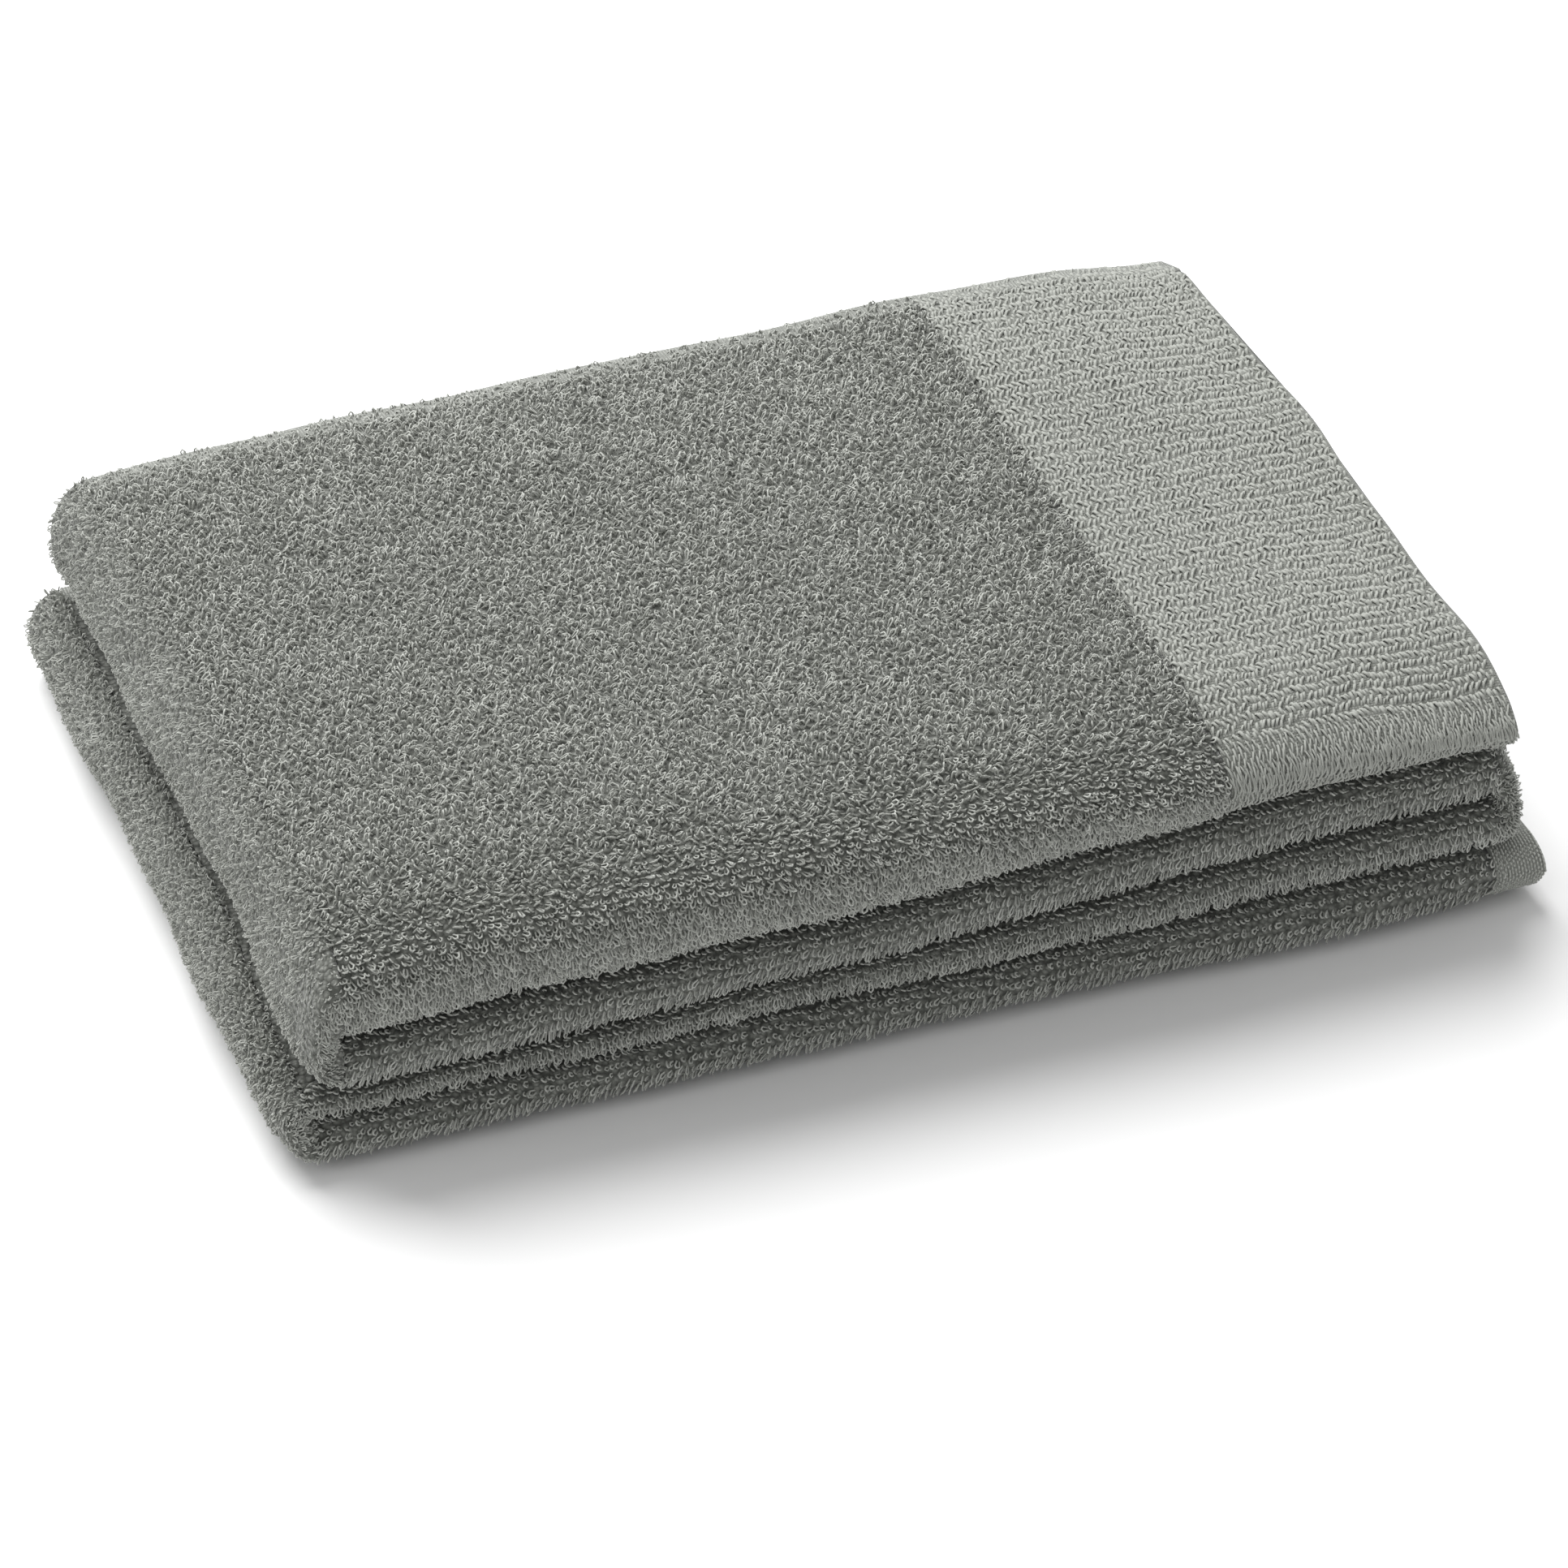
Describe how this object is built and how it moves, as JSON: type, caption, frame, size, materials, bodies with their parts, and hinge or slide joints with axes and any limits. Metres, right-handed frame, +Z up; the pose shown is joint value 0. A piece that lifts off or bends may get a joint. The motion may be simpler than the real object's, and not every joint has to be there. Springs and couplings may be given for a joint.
{
  "type": "folded bath towel",
  "caption": "Terry bath towel folded lengthwise in three and crosswise in four, with a wide dobby band and plain hems, whose panels unfold at their folds.",
  "frame": {"origin": "on the table, under the centre of the folded stack", "axes": "+X along the front edge towards the hemmed ends, +Y to the back, +Z up"},
  "size_m": [0.35, 0.241, 0.07],
  "materials": {
    "terry": "looped cotton terry, matt",
    "dobby_band": "flat dobby weave with small slanted bobbles, matt",
    "plain_hem": "plain-woven cotton hem, stitched, matt"
  },
  "bodies": {
    "bottom_panel": {"bottom_panel_terry": "terry", "bottom_panel_end_hem": "plain_hem", "bottom_panel_side_hem": "plain_hem", "bottom_panel_tucked_side_hem": "plain_hem", "lower_left_fold": "terry"},
    "lower_middle_panel": {"lower_middle_panel_terry": "terry", "lower_middle_panel_side_hem": "plain_hem", "lower_middle_panel_tucked_side_hem": "plain_hem", "right_fold": "terry"},
    "upper_middle_panel": {"upper_middle_panel_terry": "terry", "upper_middle_panel_side_hem": "plain_hem", "upper_middle_panel_tucked_side_hem": "plain_hem", "upper_left_fold": "terry"},
    "top_panel": {"top_panel_terry": "terry", "top_panel_dobby_band": "dobby_band", "top_panel_side_hem": "plain_hem", "top_panel_tucked_side_hem": "plain_hem"}
  },
  "joints": [
    {"name": "lower_left_fold_hinge", "type": "hinge", "parent": "bottom_panel", "child": "lower_middle_panel", "pos_m": [-0.165, 0, 0.01485], "axis": [0, -1, 0], "range_deg": [0, 90], "deforming": ["lower_left_fold"]},
    {"name": "right_fold_hinge", "type": "hinge", "parent": "lower_middle_panel", "child": "upper_middle_panel", "pos_m": [0.165, 0, 0.02985], "axis": [0, 1, 0], "range_deg": [0, 115], "deforming": ["right_fold"]},
    {"name": "upper_left_fold_hinge", "type": "hinge", "parent": "upper_middle_panel", "child": "top_panel", "pos_m": [-0.156, 0, 0.04485], "axis": [0, -1, 0], "range_deg": [0, 115], "deforming": ["upper_left_fold"]}
  ]
}
